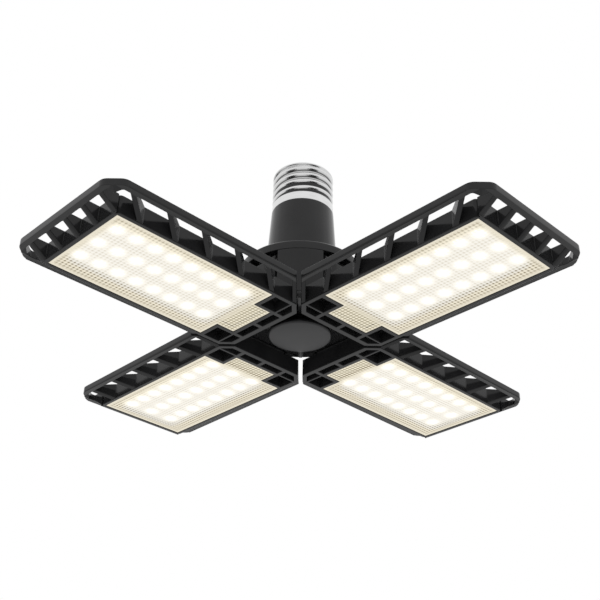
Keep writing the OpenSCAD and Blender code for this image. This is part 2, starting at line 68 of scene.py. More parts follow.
# Sizes that the CAD model gives, read from its boxes. Panel 1 points along +X.
FRAME_LOW, FRAME_HIGH = (np.array(c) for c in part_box("panel_frame_1"))
LENS_LOW, LENS_HIGH = (np.array(c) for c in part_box("lens_1"))
CHIPS_LOW, CHIPS_HIGH = (np.array(c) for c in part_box("led_chips_1"))
SHELL_LOW, SHELL_HIGH = (np.array(c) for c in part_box("screw_shell"))
INSULATOR_LOW, INSULATOR_HIGH = (np.array(c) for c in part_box("cap_insulator"))
CONTACT_LOW, CONTACT_HIGH = (np.array(c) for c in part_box("cap_contact"))
BUTTON_LOW, BUTTON_HIGH = (np.array(c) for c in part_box("centre_button"))

# Places on the CAD model that its boxes don't give
RIM_TOP = 4.6 * MM           # top of a panel's outer rim, above the casting's lowest edge
END_RIBS_FROM = 105 * MM     # start of the straight ribs at a panel's outer end
END_RIBS_HALF = 22 * MM      # half the width that these ribs take up
CHIP_HALF = 1.5 * MM         # half the side of an LED chip
CLOSE = 0.01 * MM            # two places nearer than this count as one

# Each kind of screw: its node, what carries it, the radius and the height of its head, the
# radius of its shank, and whether its head is on top
SCREWS = (
    ("base_screws", "hub", 1.9 * MM, 1.2 * MM, 1.0 * MM, False),
    ("hub_screws", "hub", 2.7 * MM, 1.7 * MM, 1.5 * MM, True),
    ("arm_screws", "panel", 2.28 * MM, 1.32 * MM, 1.2 * MM, True),
    ("board_screws", "panel", 1.8 * MM, 0.72 * MM, 0.9 * MM, False),
)

# Place and direction of the camera, fitted to the straight edges of the four panels
CAMERA = (
    (0.700785, 0.356678, 0.617804, 0.256856),
    (0.713127, -0.372983, -0.593577, -0.247172),
    (0.018715, 0.856542, -0.515737, -0.265519),
    (0.000000, 0.000000, 0.000000, 1.000000),
)
WHITE = (1, 1, 1, 1)


# ---------------------------------------------------------------- settings

class LensSettings(bpy.types.PropertyGroup):
    """Sizes and colours of the prismatic lenses."""

    prism_pitch: FloatProperty(
        name="Prism pitch", description="Spacing of the lens's small square prisms",
        default=1.54 * MM, min=0.5 * MM, max=4 * MM, unit="LENGTH")
    prism_depth: FloatProperty(
        name="Prism depth", description="Depth of the grooves between the prisms",
        default=0.16 * MM, min=0.0, max=0.6 * MM, unit="LENGTH")
    plain_edge: FloatProperty(
        name="Plain edge", description="Width of the smooth strip round the lens",
        default=0.8 * MM, min=0.0, max=3 * MM, unit="LENGTH")
    tab_edge: FloatProperty(
        name="Tab edge", description="Width of the smooth strip round the tab",
        default=0.4 * MM, min=0.0, max=3 * MM, unit="LENGTH")
    tab_half: FloatProperty(
        name="Tab half width", description="Half the width of the tab towards the hub",
        default=10.5 * MM, min=5 * MM, max=15 * MM, unit="LENGTH")
    tab_length: FloatProperty(
        name="Tab length", description="Length of the tab beyond the lens's shoulders",
        default=8.2 * MM, min=4 * MM, max=12 * MM, unit="LENGTH")
    led_columns: IntProperty(
        name="LED columns", description="LEDs in each row along the panel", default=8, min=1)
    led_rows: IntProperty(
        name="LED rows", description="Rows of LEDs across the panel", default=3, min=1)
    glow_radius: FloatProperty(
        name="Glow radius", description="Radius of the bright spot that one LED makes",
        default=2.1 * MM, min=1 * MM, max=8 * MM, unit="LENGTH")
    glow_strength: FloatProperty(
        name="Glow strength", description="Light added over the middle of an LED",
        default=1.6, min=0, max=10)
    plastic: FloatVectorProperty(
        name="Lens colour", description="Colour of a prism over the LEDs", subtype="COLOR",
        size=4, min=0, max=1, default=(0.91, 0.882, 0.81, 1))
    margin: FloatVectorProperty(
        name="Margin colour", description="Colour of a prism at the margin and on the tab",
        subtype="COLOR", size=4, min=0, max=1, default=(0.93, 0.86, 0.69, 1))
    groove: FloatVectorProperty(
        name="Groove colour", description="Colour in the grooves at the margin",
        subtype="COLOR", size=4, min=0, max=1, default=(0.22, 0.175, 0.10, 1))
    tab_groove: FloatVectorProperty(
        name="Tab's groove colour", description="Colour in the grooves on the tab",
        subtype="COLOR", size=4, min=0, max=1, default=(0.36, 0.32, 0.215, 1))
    lit_groove: FloatVectorProperty(
        name="Lit groove colour", description="Colour in the grooves between the LEDs",
        subtype="COLOR", size=4, min=0, max=1, default=(0.70, 0.65, 0.545, 1))


class BlackSettings(bpy.types.PropertyGroup):
    """Colours of the black and grey parts."""

    frame: FloatVectorProperty(
        name="Frame", description="Powder coat of the panel frames and arms",
        subtype="COLOR", size=4, min=0, max=1, default=(0.015, 0.015, 0.0155, 1))
    hub: FloatVectorProperty(
        name="Hub", description="Plastic of the hub and its cover",
        subtype="COLOR", size=4, min=0, max=1, default=(0.015, 0.015, 0.0155, 1))
    housing: FloatVectorProperty(
        name="Housing", description="Glossy plastic of the driver housing",
        subtype="COLOR", size=4, min=0, max=1, default=(0.013, 0.013, 0.0135, 1))
    button: FloatVectorProperty(
        name="Button", description="Plastic of the centre button",
        subtype="COLOR", size=4, min=0, max=1, default=(0.0155, 0.0155, 0.0165, 1))


class RoundingSettings(bpy.types.PropertyGroup):
    """Roundings of the castings and the mouldings."""

    rim: FloatProperty(
        name="Rim", description="Rounding of a panel's outer rim and of its end ribs",
        default=0.8 * MM, min=0.1 * MM, max=1.2 * MM, unit="LENGTH")
    frame: FloatProperty(
        name="Frame", description="Rounding of a panel's other edges",
        default=0.2 * MM, min=0.05 * MM, max=0.3 * MM, unit="LENGTH")
    foot_lift: FloatProperty(
        name="Foot lift", description="Room for the rounding below the ribs' feet",
        default=0.22 * MM, min=0.0, max=0.5 * MM, unit="LENGTH")
    arm: FloatProperty(
        name="Arm", description="Rounding of the hinge arms",
        default=0.3 * MM, min=0.05 * MM, max=0.5 * MM, unit="LENGTH")
    hub: FloatProperty(
        name="Hub", description="Rounding of the hub",
        default=0.22 * MM, min=0.05 * MM, max=0.5 * MM, unit="LENGTH")
    cover: FloatProperty(
        name="Cover", description="Rounding of the hub's cover",
        default=0.2 * MM, min=0.05 * MM, max=0.4 * MM, unit="LENGTH")
    housing: FloatProperty(
        name="Housing", description="Rounding of the driver housing",
        default=0.3 * MM, min=0.05 * MM, max=0.5 * MM, unit="LENGTH")


class ShellSettings(bpy.types.PropertyGroup):
    """Sizes of the threaded screw shell."""

    pitch: FloatProperty(
        name="Thread pitch", description="Rise of the thread in one turn",
        default=3.42 * MM, min=2 * MM, max=5 * MM, unit="LENGTH")
    depth: FloatProperty(
        name="Thread depth", description="Depth of the rolled thread",
        default=1.12 * MM, min=0.2 * MM, max=2 * MM, unit="LENGTH")
    skirt: FloatProperty(
        name="Skirt height", description="Plain band below the thread",
        default=3.4 * MM, min=1 * MM, max=8 * MM, unit="LENGTH")
    wall: FloatProperty(
        name="Wall", description="Thickness of the shell's sheet metal",
        default=0.5 * MM, min=0.2 * MM, max=1 * MM, unit="LENGTH")


class ButtonSettings(bpy.types.PropertyGroup):
    """Sizes of the centre button and of the screws' cross recesses."""

    disc_edge: FloatProperty(
        name="Disc edge", description="Thickness of the button's disc at its edge",
        default=1.7 * MM, min=0.8 * MM, max=4 * MM, unit="LENGTH")
    neck: FloatProperty(
        name="Neck", description="How much narrower the button is behind its disc",
        default=2.2 * MM, min=0.0, max=5 * MM, unit="LENGTH")
    recess: FloatProperty(
        name="Recess depth", description="Depth of a screw's cross recess, as a share of its head",
        default=0.62, min=0.0, max=0.9)


class StageSettings(bpy.types.PropertyGroup):
    """Floor, light and camera."""

    floor_height: FloatProperty(
        name="Floor height", description="Height of the floor in the part's frame",
        default=-1.2, unit="LENGTH")
    focal_length: FloatProperty(
        name="Focal length", description="Focal length of the camera in millimetres",
        default=60.9, min=10, max=200)


# ---------------------------------------------------------------- meshes

def mesh_object(name, verts, faces, smooth=True):
    """Makes one mesh object at the origin from an array of points and lists of faces."""
    mesh = bpy.data.meshes.new(name)
    mesh.from_pydata(np.asarray(verts, float).tolist(), [], faces)
    mesh.polygons.foreach_set("use_smooth", np.full(len(mesh.polygons), smooth))
    mesh.update()
    obj = bpy.data.objects.new(name, mesh)
    bpy.context.scene.collection.objects.link(obj)
    return obj


def put(obj, body, cad_node, material):
    """Says what a piece rides on, stands for and is made of."""
    obj.data.materials.clear()
    obj.data.materials.append(material)
    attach(obj, body)
    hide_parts(cad_node)


def point_values(obj, name, values):
    """Gives the mesh's points one value each, which its material reads by this name."""
    store = obj.data.attributes.new(name, "FLOAT", "POINT")
    store.data.foreach_set("value", values.astype(np.float32))


def grid_faces(rows, cols, close_rows=False, close_cols=False):
    """Quads of a rows x cols grid of points, row by row, closed round where asked."""
    i = np.arange(rows if close_rows else rows - 1)[:, None]
    j = np.arange(cols if close_cols else cols - 1)[None, :]
    a = i * cols + j
    b = i * cols + (j + 1) % cols
    c = ((i + 1) % rows) * cols + (j + 1) % cols
    d = ((i + 1) % rows) * cols + j
    return np.stack([a, b, c, d], -1).reshape(-1, 4).tolist()


def revolve(profile, sides):
    """Points (r cos t, r sin t, z) of a profile of (r, z) pairs turned round Z; the
    profile's first and last points lie on the axis, so each pole is one point."""
    profile = np.asarray(profile, float)
    turn = np.linspace(0, 2 * np.pi, sides, endpoint=False)
    body = profile[1:-1]
    ring = np.stack([np.outer(body[:, 0], np.cos(turn)), np.outer(body[:, 0], np.sin(turn)),
                     np.repeat(body[:, 1:2], sides, 1)], -1).reshape(-1, 3)
    verts = np.vstack([ring, [[0, 0, profile[0, 1]]], [[0, 0, profile[-1, 1]]]])
    at = np.arange(sides)
    after = (at + 1) % sides
    last = (len(body) - 1) * sides
    low_pole, high_pole = np.full(sides, len(ring)), np.full(sides, len(ring) + 1)
    faces = grid_faces(len(body), sides, close_cols=True)
    faces += np.stack([low_pole, after, at], -1).tolist()
    faces += np.stack([high_pole, last + at, last + after], -1).tolist()
    return verts, faces


def cross_screw(radius, height, shank, reach, recess):
    """A pan head on z = 0 with a plain shank down to z = -reach. The head's top is
    height (1 - 0.28 (r/radius)^4), less the recess depth where either bar of a cross lies."""
    share = np.concatenate([np.linspace(0.985, 0.8, 4), np.linspace(0.72, 0.06, 13)])
    crown = height * (1 - 0.28 * share ** 4)
    side = [(0.0, -reach), (0.7 * shank, -reach), (shank, -reach + 0.35 * shank), (shank, 0.0),
            (0.95 * radius, 0.0), (radius, 0.05 * radius), (radius, 0.58 * height)]
    profile = np.vstack([side, np.stack([share * radius, crown], -1), [(0.0, height)]])
    verts, faces = revolve(profile, 48)
    # a bar's half width and half length are shares of the radius, with a slope at its edge
    slope, half_width, half_length = 0.07, 0.20, 0.66
    across = np.abs(verts[:, :2]) / radius
    width = np.clip((half_width - across) / slope, 0, 1)
    length = np.clip((half_length - across) / slope, 0, 1)
    bar = np.maximum(width[:, 0] * length[:, 1], width[:, 1] * length[:, 0])
    on_top = verts[:, 2] > 0.6 * height
    verts[:, 2] -= np.where(on_top, recess * height * bar, 0)
    return verts, faces


def repeated(verts, faces, places):
    """The points of one shape moved to each of the places, and the faces of all of them."""
    points = (verts[None] + places[:, None]).reshape(-1, 3)
    shifts = range(0, len(points), len(verts))
    return points, [[shift + i for i in face] for shift in shifts for face in faces]


def quarter(points, k):
    """Points turned about Z by k - 1 quarter turns, from panel 1's place to panel k's."""
    c, s = ((1, 0), (0, 1), (-1, 0), (0, -1))[k - 1]
    p = np.asarray(points, float)
    return np.stack([c * p[..., 0] - s * p[..., 1], s * p[..., 0] + c * p[..., 1], p[..., 2]], -1)


def quarter_back(points, k):
    """Points turned back about Z from panel k's place to panel 1's."""
    return quarter(points, (1, 4, 3, 2)[k - 1])


def merged_copy(source):
    """A CAD node's mesh with its loose triangles welded and its flat faces made whole."""
    mesh = bmesh.new()
    mesh.from_mesh(frame["nodes"][source].data)
    bmesh.ops.remove_doubles(mesh, verts=mesh.verts, dist=0.002 * MM)
    bmesh.ops.dissolve_limit(mesh, angle_limit=math.radians(0.5), verts=mesh.verts, edges=mesh.edges)
    return mesh


def read_copy(mesh):
    """Two arrays of a merged copy: its points, and the numbers of each edge's two points."""
    data = bpy.data.meshes.new("reading")
    mesh.to_mesh(data)
    points = np.empty(3 * len(data.vertices), np.float32)
    ends = np.empty(2 * len(data.edges), np.int32)
    data.vertices.foreach_get("co", points)
    data.edges.foreach_get("vertices", ends)
    bpy.data.meshes.remove(data)
    mesh.verts.ensure_lookup_table()
    mesh.edges.ensure_lookup_table()
    return points.reshape(-1, 3).astype(float), ends.reshape(-1, 2)


def softened(mesh, name, radius):
    """Makes an object of a merged copy, with every sharp edge and inner corner rounded."""
    data = bpy.data.meshes.new(name)
    mesh.to_mesh(data)
    mesh.free()
    data.polygons.foreach_set("use_smooth", np.ones(len(data.polygons), bool))
    obj = bpy.data.objects.new(name, data)
    bpy.context.scene.collection.objects.link(obj)
    bevel = obj.modifiers.new("Rounding", "BEVEL")
    bevel.width = radius
    bevel.segments = 2
    bevel.limit_method = "ANGLE"
    bevel.angle_limit = math.radians(24)
    bevel.use_clamp_overlap = False
    flat = obj.modifiers.new("Flat faces", "WEIGHTED_NORMAL")
    flat.weight = 90
    return obj


# ---------------------------------------------------------------- materials

def new_material(name):
    """A node material with nothing in it yet, and its node tree."""
    mat = bpy.data.materials.new(name)
    mat.use_nodes = True
    mat.node_tree.nodes.clear()
    return mat, mat.node_tree


def node(tree, kind, inputs=None, **props):
    """Adds a node, sets its properties, and sets or joins its inputs."""
    made = tree.nodes.new(kind)
    for key, value in props.items():
        setattr(made, key, value)
    for key, value in (inputs or {}).items():
        if isinstance(value, bpy.types.NodeSocket):
            tree.links.new(value, made.inputs[key])
        else:
            made.inputs[key].default_value = value
    return made


def reckon(tree, operation, *values, clamp=False):
    """One step of arithmetic on numbers or sockets."""
    return node(tree, "ShaderNodeMath", dict(enumerate(values)), operation=operation,
                use_clamp=clamp).outputs[0]


def between(tree, value, start, end):
    """Goes from start to end as the value goes from 0 to 1."""
    inputs = {"Value": value, "To Min": start, "To Max": end}
    return node(tree, "ShaderNodeMapRange", inputs).outputs["Result"]


def given(tree, name):
    """The value of this name that the mesh gives its points."""
    return node(tree, "ShaderNodeAttribute", attribute_name=name).outputs["Fac"]


def here(tree):
    """The place on the piece."""
    return node(tree, "ShaderNodeTexCoord").outputs["Object"]


def noise(tree, place, scale, detail):
    """A cloudy value between 0 and 1."""
    inputs = {"Vector": place, "Scale": scale, "Detail": detail}
    return node(tree, "ShaderNodeTexNoise", inputs).outputs["Fac"]


def ramp(tree, fac, stops):
    """A colour ramp with the given (place, colour) stops."""
    made = node(tree, "ShaderNodeValToRGB", {"Fac": fac})
    elements = made.color_ramp.elements
    while len(elements) < len(stops):
        elements.new(0.5)
    for element, (place, colour) in zip(elements, stops):
        element.position = place
        element.color = colour
    return made.outputs["Color"]


def blend_colours(tree, share, first, second):
    """The first colour where the share is 0, and the second where it is 1."""
    inputs = {"Fac": share, "Color1": first, "Color2": second}
    return node(tree, "ShaderNodeMixRGB", inputs).outputs["Color"]


def blend_shaders(tree, share, first, second):
    """The first shader where the share is 0, and the second where it is 1."""
    return node(tree, "ShaderNodeMixShader", {"Fac": share, 1: first, 2: second}).outputs["Shader"]


def show(tree, shader):
    """Puts a shader on the surface."""
    node(tree, "ShaderNodeOutputMaterial", {"Surface": shader})


def shade(colour, factor):
    """A colour made darker or lighter by one factor."""
    return tuple(min(1.0, c * factor) for c in colour[:3]) + (1.0,)


def coated(name, colour, roughness, level=0.5, grain=900.0, bump=0.12, coat=0.0, contrast=0.25):
    """A moulded or coated surface: its colour and roughness drift slowly over the part,
    and a fine grain raises the surface a few hundredths of a millimetre."""
    mat, tree = new_material(name)
    place = here(tree)
    drift = noise(tree, place, 55.0, 4.0)
    grains = noise(tree, place, grain, 2.0)
    base = ramp(tree, drift, [(0.3, shade(colour, 1 - contrast)), (0.7, shade(colour, 1 + contrast))])
    raised = node(tree, "ShaderNodeBump", {"Height": grains, "Strength": bump, "Distance": 0.04 * MM})
    shader = node(tree, "ShaderNodeBsdfPrincipled", {
        "Base Color": base, "Roughness": between(tree, drift, roughness * 0.88, roughness * 1.12),
        "Normal": raised.outputs["Normal"], "Specular IOR Level": level,
        "Coat Weight": coat, "Coat Roughness": 0.08})
    show(tree, shader.outputs["BSDF"])
    return mat


def metal(name, colour, roughness, grain, stretch=(1, 1, 1), dark=None):
    """Bare metal: fine scratches, stretched along one direction, vary its roughness.
    Where a mesh gives the named value, the metal is painted dark: painted shade and painted dark
    reflection, with a little tarnish."""
    mat, tree = new_material(name)
    spread = node(tree, "ShaderNodeMapping", {"Vector": here(tree), "Scale": stretch}).outputs["Vector"]
    lines = noise(tree, spread, grain, 3.0)
    base = ramp(tree, lines, [(0.3, shade(colour, 0.9)), (0.7, colour)])
    if dark:
        # painted shade: the named value darkens the metal to 7% of its colour
        base = blend_colours(tree, given(tree, dark), base, shade(colour, 0.07))
    raised = node(tree, "ShaderNodeBump", {"Height": lines, "Strength": 0.08, "Distance": 0.03 * MM})
    shader = node(tree, "ShaderNodeBsdfPrincipled", {
        "Base Color": base, "Roughness": between(tree, lines, roughness * 0.7, roughness * 1.3),
        "Normal": raised.outputs["Normal"], "Metallic": 1.0})
    show(tree, shader.outputs["BSDF"])
    return mat


def lens_surface(settings):
    """Lit prismatic plastic. Grooves run along X and Y at the prism pitch. A groove is
    clear and shows the light layer behind it, and a prism is milky and shows only a
    little of it, so the grooves are dark where no LED lies behind them."""
    mat, tree = new_material("prismatic_lens")
    pitch = settings.prism_pitch
    axes = node(tree, "ShaderNodeSeparateXYZ", {"Vector": here(tree)}).outputs
    x_line, y_line = (node(tree, "ShaderNodeMapRange", {
        "Value": reckon(tree, "PINGPONG", axes[axis], pitch / 2), "From Min": 0.0,
        "From Max": pitch * 0.36, "To Min": 1.0, "To Max": 0.0},
        interpolation_type="SMOOTHSTEP").outputs["Result"] for axis in ("X", "Y"))

    # groove = weight (x + y) + x y: lines show more on the tab, and their crossings most
    both = reckon(tree, "ADD", x_line, y_line)
    cross = reckon(tree, "MULTIPLY", x_line, y_line)
    weight = between(tree, given(tree, "tab"), 0.3, 0.8)
    groove = reckon(tree, "MULTIPLY_ADD", both, weight, cross, clamp=True)
    edge = given(tree, "edge_strip")
    milky = reckon(tree, "MAXIMUM", between(tree, groove, 0.86, 0.1), edge)

    field = given(tree, "field")
    colour = ramp(tree, field, [(0.0, tuple(settings.margin)), (1.0, tuple(settings.plastic))])
    colour = blend_colours(tree, edge, colour, shade(settings.margin, 0.8))
    prism = node(tree, "ShaderNodeBsdfPrincipled", {
        "Base Color": shade(settings.plastic, 0.05), "Roughness": 0.25, "Specular IOR Level": 0.25,
        "Emission Color": colour, "Emission Strength": 1.0})
    clear = node(tree, "ShaderNodeBsdfTransparent")
    show(tree, blend_shaders(tree, milky, clear.outputs["BSDF"], prism.outputs["BSDF"]))
    mat.cycles.emission_sampling = "NONE"
    return mat


def glow_surface(settings):
    """The lit layer behind the prisms. Its values give the even field of the LED board,
    the tab and the bright spot over each LED, and all of it is emitted light."""
    mat, tree = new_material("led_glow")
    tab_tone = 0.3
    tone = reckon(tree, "MULTIPLY_ADD", given(tree, "tab"), tab_tone, given(tree, "field"), clamp=True)
    colour = ramp(tree, tone, [(0.0, tuple(settings.groove)), (tab_tone, tuple(settings.tab_groove)),
                               (1.0, tuple(settings.lit_groove))])
    power = reckon(tree, "MULTIPLY", given(tree, "spot"), settings.glow_strength)
    base = node(tree, "ShaderNodeEmission", {"Color": colour, "Strength": 1.0})
    light = node(tree, "ShaderNodeEmission", {"Color": (1.0, 0.985, 0.96, 1), "Strength": power})
    total = node(tree, "ShaderNodeAddShader", {0: base.outputs[0], 1: light.outputs[0]})
    show(tree, total.outputs["Shader"])
    mat.cycles.emission_sampling = "NONE"
    return mat


# ---------------------------------------------------------------- operators

class GARAGELIGHT_OT_stage(bpy.types.Operator):
    """Builds the floor, the lamps and the camera"""

    bl_idname = "garage_light.stage"
    bl_label = "Build the stage"

    def seen(self, tree):
        """1 for what the camera sees, straight or in gloss or glass, and else 0."""
        path = node(tree, "ShaderNodeLightPath").outputs
        first = reckon(tree, "MAXIMUM", path["Is Camera Ray"], path["Is Glossy Ray"])
        return reckon(tree, "MAXIMUM", first, path["Is Transmission Ray"])

    def floor(self, height):
        """A wide pale disc that keeps the object's shadow, nearly white to the camera."""
        radius, sides = 40.0, 96
        turn = np.linspace(0, 2 * np.pi, sides, endpoint=False)
        disc = np.stack([radius * np.cos(turn), radius * np.sin(turn), np.full(sides, height)], -1)
        floor = mesh_object("floor", disc, [list(range(sides))], smooth=False)
        mat, tree = new_material("pale_floor")
        share = reckon(tree, "MULTIPLY", self.seen(tree), 0.55)
        paint = node(tree, "ShaderNodeBsdfDiffuse", {"Color": (0.8, 0.8, 0.8, 1)})
        white = node(tree, "ShaderNodeEmission", {"Color": WHITE, "Strength": 1.0})
        show(tree, blend_shaders(tree, share, paint.outputs[0], white.outputs[0]))
        floor.data.materials.append(mat)

    def world(self, scene):
        """Even light from all round, half as strong as the white that the camera sees."""
        world = bpy.data.worlds.new("studio")
        scene.world = world
        world.use_nodes = True
        tree = world.node_tree
        tree.nodes.clear()
        soft = node(tree, "ShaderNodeBackground", {"Color": WHITE, "Strength": 0.5})
        white = node(tree, "ShaderNodeBackground", {"Color": WHITE, "Strength": 1.0})
        sky = blend_shaders(tree, self.seen(tree), soft.outputs[0], white.outputs[0])
        node(tree, "ShaderNodeOutputWorld", {"Surface": sky})

    def sun(self, name, turn, strength):
        """An even, wide light from one side, which gloss doesn't show as a spot."""
        data = bpy.data.lights.new(name, "SUN")
        data.energy = strength
        data.angle = math.radians(50)
        obj = bpy.data.objects.new(name, data)
        obj.rotation_euler = [math.radians(a) for a in turn]
        obj.visible_glossy = False
        bpy.context.scene.collection.objects.link(obj)

    def camera(self, scene, focal_length):
        """The photograph's camera."""
        data = bpy.data.cameras.new("camera")
        data.sensor_fit = "HORIZONTAL"
        data.sensor_width = 36.0
        data.lens = focal_length
        data.clip_start = 0.01
        camera = bpy.data.objects.new("camera", data)
        camera.matrix_world = Matrix(CAMERA)
        scene.collection.objects.link(camera)
        scene.camera = camera

    def execute(self, context):
        scene = context.scene
        settings = scene.garage_stage
        scene.view_settings.view_transform = "Standard"
        self.floor(settings.floor_height)
        self.world(scene)
        self.sun("top_light", (25, 0, 35), 1.5)
        self.sun("side_light", (70, 0, -60), 0.5)
        self.camera(scene, settings.focal_length)
        return {"FINISHED"}


class GARAGELIGHT_OT_finishes(bpy.types.Operator):
    """Gives the CAD nodes that stay their finishes"""

    bl_idname = "garage_light.finishes"
    bl_label = "Finish the CAD nodes"

    def execute(self, context):
        finishes = {
            "led_board": coated("board_solder_mask", (0.78, 0.78, 0.75, 1), 0.5, contrast=0.06),
            "led_chips": coated("chip_phosphor", (0.85, 0.66, 0.16, 1), 0.4, contrast=0.08),
            "hinge_pin": metal("pin_steel", (0.42, 0.42, 0.44, 1), 0.28, 1200.0),
            "hinge_washers": coated("washer_nylon", (0.02, 0.02, 0.02, 1), 0.5, level=0.3),
            "driver_board": coated("driver_board_mask", (0.03, 0.16, 0.05, 1), 0.4),
            "driver_transformer": coated("transformer_tape", (0.62, 0.48, 0.12, 1), 0.5, grain=400.0),
            "driver_capacitors": coated("capacitor_sleeve", (0.02, 0.04, 0.12, 1), 0.3),
            "driver_choke": coated("choke_enamel", (0.32, 0.11, 0.03, 1), 0.35, grain=600.0),
        }
        for name, obj in frame["nodes"].items():
            kind = name.rstrip("_1234") if name[-1].isdigit() else name
            if kind in finishes:
                for place in obj.material_slots:
                    place.material = finishes[kind]
        return {"FINISHED"}


class GARAGELIGHT_OT_castings(bpy.types.Operator):
    """Rounds the edges of the cast frames, the arms, the hub and the housing"""

    bl_idname = "garage_light.castings"
    bl_label = "Round the castings"

    def wide_edges(self, mesh, k):
        """The edges of a panel that get the widest rounding: the outer ones on top of its
        rim, and the slanted lower ones of the ribs at its outer end."""
        points, ends = read_copy(mesh)
        u, v, z = np.moveaxis(quarter_back(points[ends], k), -1, 0)
        z = z - FRAME_LOW[2]
        outside = np.maximum(u - FRAME_HIGH[0], np.abs(v) - FRAME_HIGH[1]) > -2 * CLOSE
        rim = np.all((np.abs(z - RIM_TOP) < 2 * CLOSE) & outside, -1)
        # an end rib's lower edge runs straight out, from a low foot up to the rim
        outwards = (np.ptp(u, -1) > 4 * MM) & (np.ptp(v, -1) < 2 * CLOSE)
        at_end = (u.min(-1) > END_RIBS_FROM) & (np.abs(v).max(-1) < END_RIBS_HALF)
        slanted = (z.min(-1) < 0.6 * MM) & (z.max(-1) > 3 * MM)
        chosen = [mesh.edges[i] for i in np.flatnonzero(rim | (outwards & at_end & slanted))]
        sharp = 0.6              # in radians, between an edge's two faces
        return [edge for edge in chosen if edge.calc_face_angle(0) > sharp]

    def panel_frame(self, k, rounding):
        """A panel's casting. Its ribs' feet are lifted and its widest roundings cut first."""
        mesh = merged_copy(f"panel_frame_{k}")
        points, _ = read_copy(mesh)
        # the feet lie level with the lens's lower face
        feet = np.flatnonzero(np.abs(points[:, 2] - LENS_LOW[2]) < CLOSE)
        bmesh.ops.translate(mesh, verts=[mesh.verts[i] for i in feet], vec=(0, 0, rounding.foot_lift))
        bmesh.ops.bevel(mesh, geom=self.wide_edges(mesh, k), offset=rounding.rim, segments=4,
                        offset_type="OFFSET", profile=0.5, affect="EDGES", clamp_overlap=False)
        return softened(mesh, f"frame_casting_{k}", rounding.frame)

    def execute(self, context):
        black, rounding = context.scene.garage_blacks, context.scene.garage_roundings
        gloss = coated("frame_gloss", black.frame, 0.15, level=0.23, bump=0.05)
        for k in PANELS:
            casting = self.panel_frame(k, rounding)
            put(casting, f"panel_{k}", f"panel_frame_{k}", gloss)
            arm = softened(merged_copy(f"hinge_arm_{k}"), f"arm_casting_{k}", rounding.arm)
            put(arm, f"panel_{k}", f"hinge_arm_{k}", gloss)

        plastic = coated("hub_plastic", black.hub, 0.17, level=0.25, bump=0.05)
        hub = softened(merged_copy("hub_body"), "hub_moulding", rounding.hub)
        put(hub, "hub", "hub_body", plastic)
        cover = softened(merged_copy("base_cover"), "cover_moulding", rounding.cover)
        put(cover, "hub", "base_cover", plastic)
        housing = softened(merged_copy("driver_housing"), "housing_moulding", rounding.housing)
        put(housing, "hub", "driver_housing",
            coated("housing_gloss", black.housing, 0.12, level=0.3, bump=0.03))
        return {"FINISHED"}


